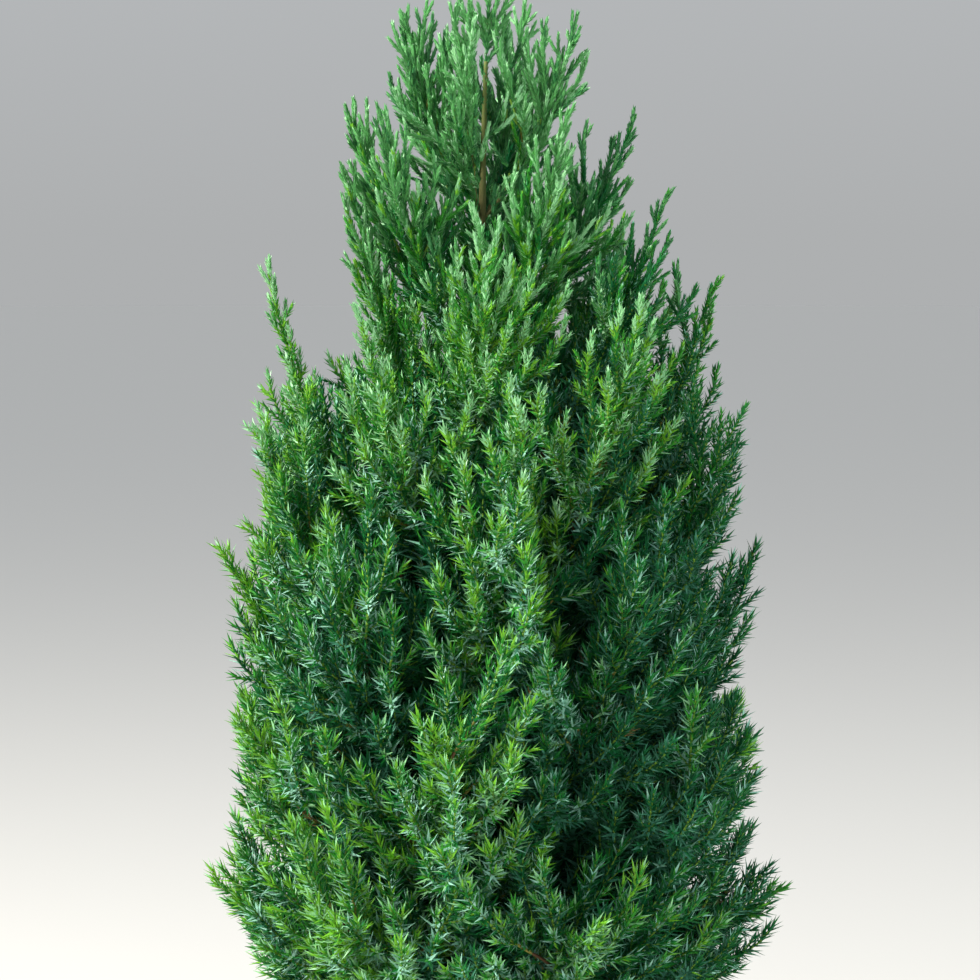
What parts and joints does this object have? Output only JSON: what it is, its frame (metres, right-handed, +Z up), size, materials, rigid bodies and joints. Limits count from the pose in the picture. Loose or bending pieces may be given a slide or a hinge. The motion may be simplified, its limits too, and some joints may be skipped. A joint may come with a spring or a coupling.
{
  "type": "potted chinese juniper",
  "caption": "Upright cone-shaped juniper shrub with steep feathery plumes of short needles, rooted in compost in a round clay pot.",
  "frame": {"origin": "middle of the pot's flat underside, where it stands", "axes": "+Z up along the trunk, -Y towards the side that the picture shows, +X to its right"},
  "size_m": [0.3115, 0.3169, 0.7705],
  "materials": {
    "clay": "matt unglazed fired clay, slightly mottled, with faint turning lines",
    "compost": "damp crumbly potting compost with bark chips",
    "bark": "reddish brown bark that peels in thin strips along the limb",
    "needles": "sharp awl-shaped needles, yellow-green to blue-green, with a pale waxy band on their upper side"
  },
  "bodies": {
    "root": {"pot": "clay", "soil": "compost", "trunk": "bark", "bough_skirt_1": "bark", "foliage_skirt_1": "needles", "bough_skirt_2": "bark", "foliage_skirt_2": "needles", "bough_skirt_3": "bark", "foliage_skirt_3": "needles", "bough_skirt_4": "bark", "foliage_skirt_4": "needles", "bough_skirt_5": "bark", "foliage_skirt_5": "needles", "bough_skirt_6": "bark", "foliage_skirt_6": "needles", "bough_low_1": "bark", "foliage_low_1": "needles", "bough_low_2": "bark", "foliage_low_2": "needles", "bough_low_3": "bark", "foliage_low_3": "needles", "bough_low_4": "bark", "foliage_low_4": "needles", "bough_low_5": "bark", "foliage_low_5": "needles", "bough_low_6": "bark", "foliage_low_6": "needles", "foliage_middle_1": "needles", "foliage_middle_2": "needles", "foliage_middle_3": "needles", "foliage_middle_4": "needles", "foliage_middle_5": "needles", "foliage_middle_6": "needles", "foliage_upper_1": "needles", "foliage_upper_2": "needles", "foliage_upper_3": "needles", "foliage_upper_4": "needles", "foliage_upper_5": "needles", "foliage_upper_6": "needles", "foliage_shoulder_1": "needles", "foliage_shoulder_2": "needles", "foliage_shoulder_3": "needles", "foliage_shoulder_4": "needles", "foliage_shoulder_5": "needles", "foliage_shoulder_6": "needles", "foliage_collar_1": "needles", "foliage_collar_2": "needles", "foliage_collar_3": "needles", "foliage_collar_4": "needles", "foliage_collar_5": "needles", "foliage_neck_1": "needles", "foliage_neck_2": "needles", "foliage_neck_3": "needles", "foliage_neck_4": "needles", "foliage_neck_5": "needles", "foliage_head_1": "needles", "foliage_head_2": "needles", "foliage_head_3": "needles", "foliage_head_4": "needles", "foliage_leader": "needles"}
  },
  "joints": []
}
